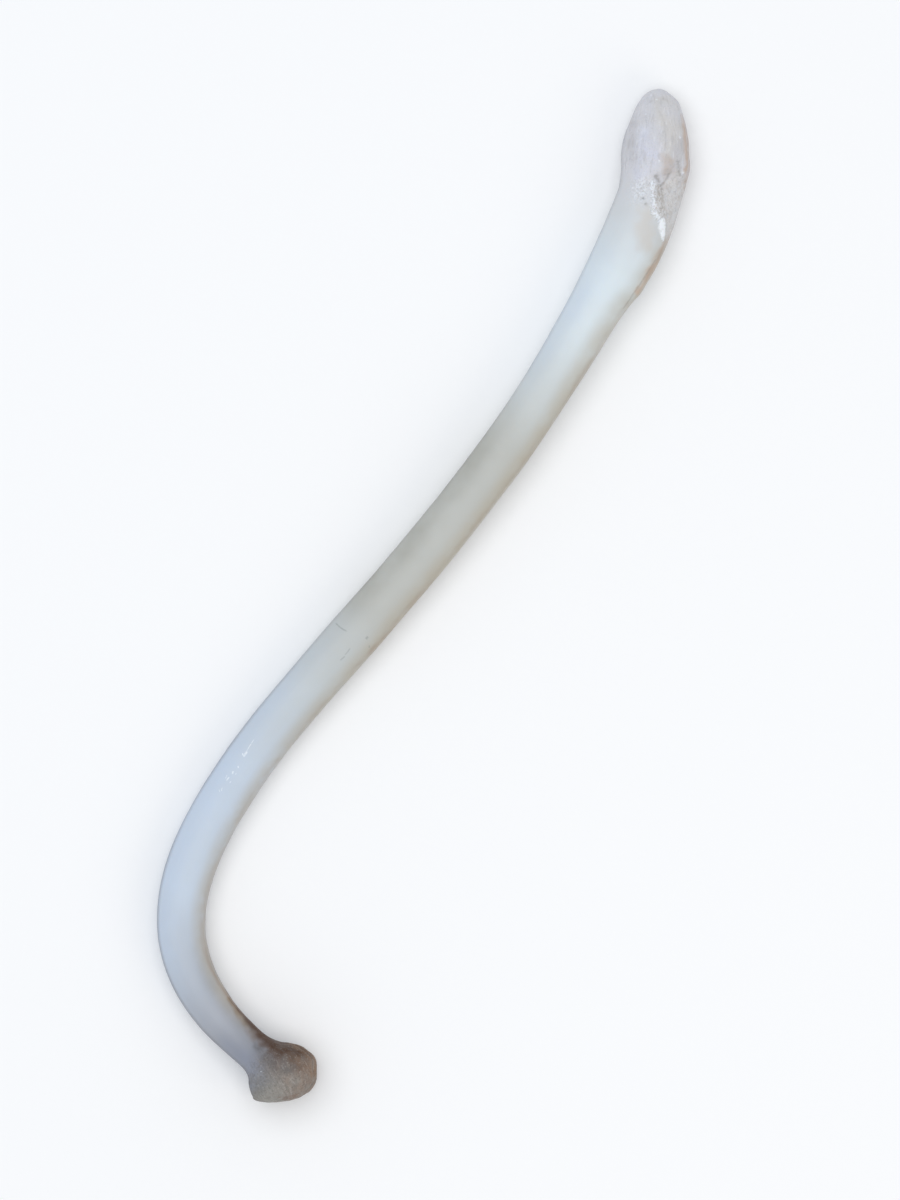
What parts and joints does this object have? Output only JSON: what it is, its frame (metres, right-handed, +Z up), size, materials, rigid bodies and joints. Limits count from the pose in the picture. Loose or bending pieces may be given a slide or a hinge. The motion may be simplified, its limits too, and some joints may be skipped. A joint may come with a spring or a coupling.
{
  "type": "raccoon baculum",
  "caption": "Dry raccoon penis bone: a slender shaft in a long S curve, with a rough swollen base and a hooked, two-lobed tip, lying on its side.",
  "frame": {"origin": "bottom centre of the bone's bounding box, on the surface that the bone lies on", "axes": "+X from the base end to the hooked tip, +Y towards the belly side that the hook opens to, +Z up, out of the bone's right side"},
  "size_m": [0.1008, 0.0242, 0.0079],
  "materials": {
    "dry_bone": "clean dry bone, satin along the shaft, matt and finely pitted at both ends"
  },
  "bodies": {
    "root": {"baculum": "dry_bone"}
  },
  "joints": []
}
